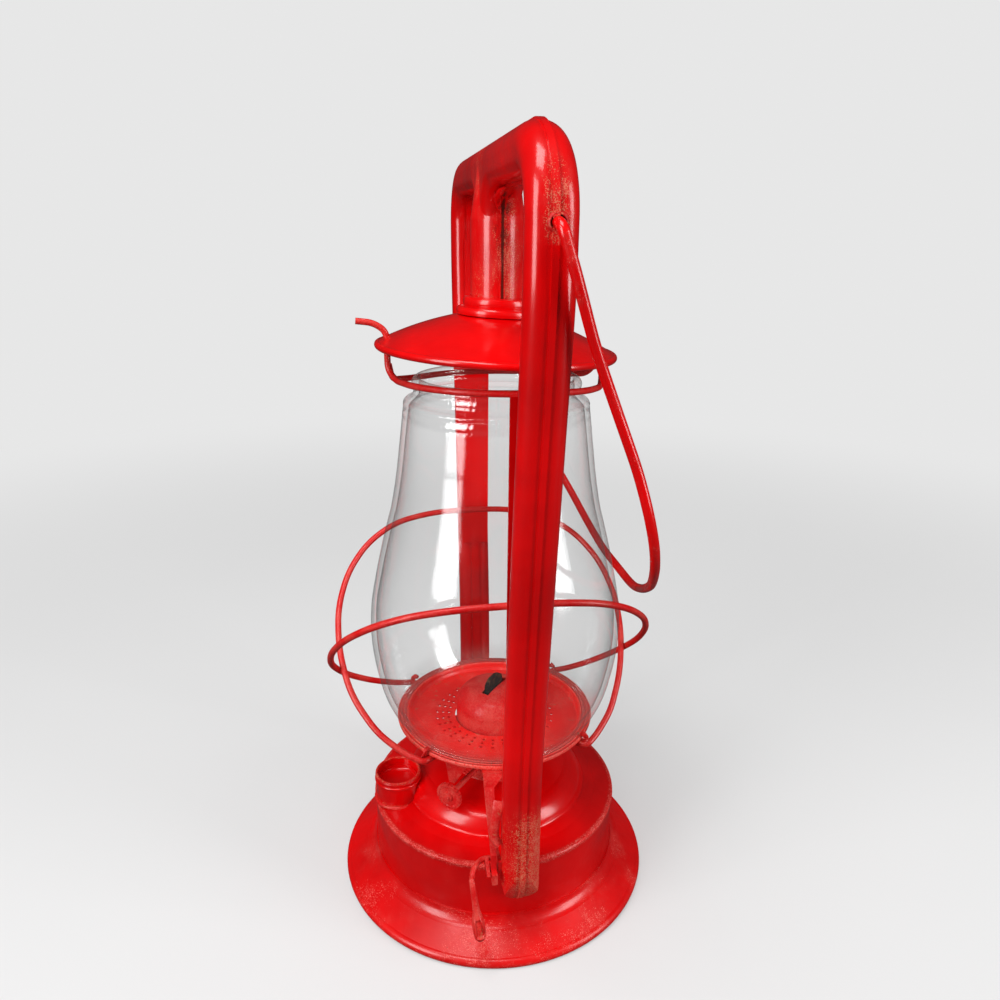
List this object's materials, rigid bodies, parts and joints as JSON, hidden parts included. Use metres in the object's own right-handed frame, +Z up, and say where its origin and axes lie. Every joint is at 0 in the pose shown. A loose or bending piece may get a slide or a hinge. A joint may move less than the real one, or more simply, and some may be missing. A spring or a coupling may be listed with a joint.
{
  "type": "hurricane lantern",
  "caption": "Red painted hurricane lantern with a pear-shaped glass globe, wire guards, a wick raiser, a globe lift lever, a sliding hood and a swinging bail.",
  "frame": {"origin": "centre of the base rim, on the plane the lantern stands on", "axes": "+Z up, +X towards the side tube with the lift lever, -Y towards the filler neck and the wick knob"},
  "size_m": [0.2166, 0.1586, 0.3506],
  "materials": {
    "red_paint": "glossy bright red overpaint",
    "dull_red_paint": "worn rough red paint with rust",
    "burner_metal": "dull sooty brass",
    "glass": "clear dusty glass",
    "wick_cotton": "charred cotton"
  },
  "bodies": {
    "frame": {"base_skirt": "red_paint", "fount_body": "red_paint", "fount_bottom": "red_paint", "filler_neck": "red_paint", "filler_plug": "red_paint", "burner_collar": "dull_red_paint", "burner_body": "dull_red_paint", "burner_cone": "dull_red_paint", "wick_tube": "burner_metal", "tube_right_front": "red_paint", "tube_right_back": "red_paint", "tube_right_toe": "red_paint", "tube_right_strip": "red_paint", "tube_left_front": "red_paint", "tube_left_back": "red_paint", "tube_left_toe": "red_paint", "tube_left_strip": "red_paint", "crown_front": "red_paint", "crown_back": "red_paint", "lever_bracket": "red_paint"},
    "wick": {"wick": "wick_cotton"},
    "raiser": {"raiser_shaft": "burner_metal", "raiser_wheel_inner": "burner_metal", "raiser_wheel_outer": "burner_metal", "wick_knob": "dull_red_paint"},
    "carriage": {"globe_plate": "dull_red_paint", "plate_tongue": "dull_red_paint", "guard_wire_left": "dull_red_paint", "guard_wire_right": "dull_red_paint", "lift_strap": "dull_red_paint"},
    "globe": {"globe": "glass"},
    "hood": {"hood": "red_paint", "hood_collar": "red_paint", "catch_wire": "dull_red_paint", "catch_loop": "dull_red_paint"},
    "bail": {"bail": "dull_red_paint"},
    "lever": {"lift_lever": "dull_red_paint", "thumb_piece": "dull_red_paint"}
  },
  "joints": [
    {"name": "bail_swing", "type": "hinge", "parent": "frame", "child": "bail", "pos_m": [0, 0.0006, 0.3185], "axis": [1, 0, 0], "range_deg": [0, 315]},
    {"name": "plate_lift", "type": "slide", "parent": "frame", "child": "carriage", "axis": [0, 0, 1], "range_m": [0, 0.007]},
    {"name": "lever_turn", "type": "hinge", "parent": "frame", "child": "lever", "pos_m": [0.064, -0.012, 0.0518], "axis": [0, -1, 0], "range_deg": [0, 60]},
    {"name": "globe_lift", "type": "slide", "parent": "carriage", "child": "globe", "axis": [0, 0, 1], "range_m": [0, 0.008]},
    {"name": "hood_lift", "type": "slide", "parent": "globe", "child": "hood", "axis": [0, 0, 1], "range_m": [0, 0.012]},
    {"name": "knob_turn", "type": "hinge", "parent": "frame", "child": "raiser", "pos_m": [0.0023, 0.00264, 0.0655], "axis": [-0.7547, 0.6561, 0], "range_deg": [-244, 122]},
    {"name": "wick_raise", "type": "slide", "parent": "frame", "child": "wick", "axis": [0, 0, 1], "range_m": [-0.01, 0.005]}
  ],
  "couplings": [
    {"joint": "lever_turn", "follows": "plate_lift", "rad_per_m": 149.5},
    {"joint": "knob_turn", "follows": "wick_raise", "rad_per_m": 425.5}
  ]
}
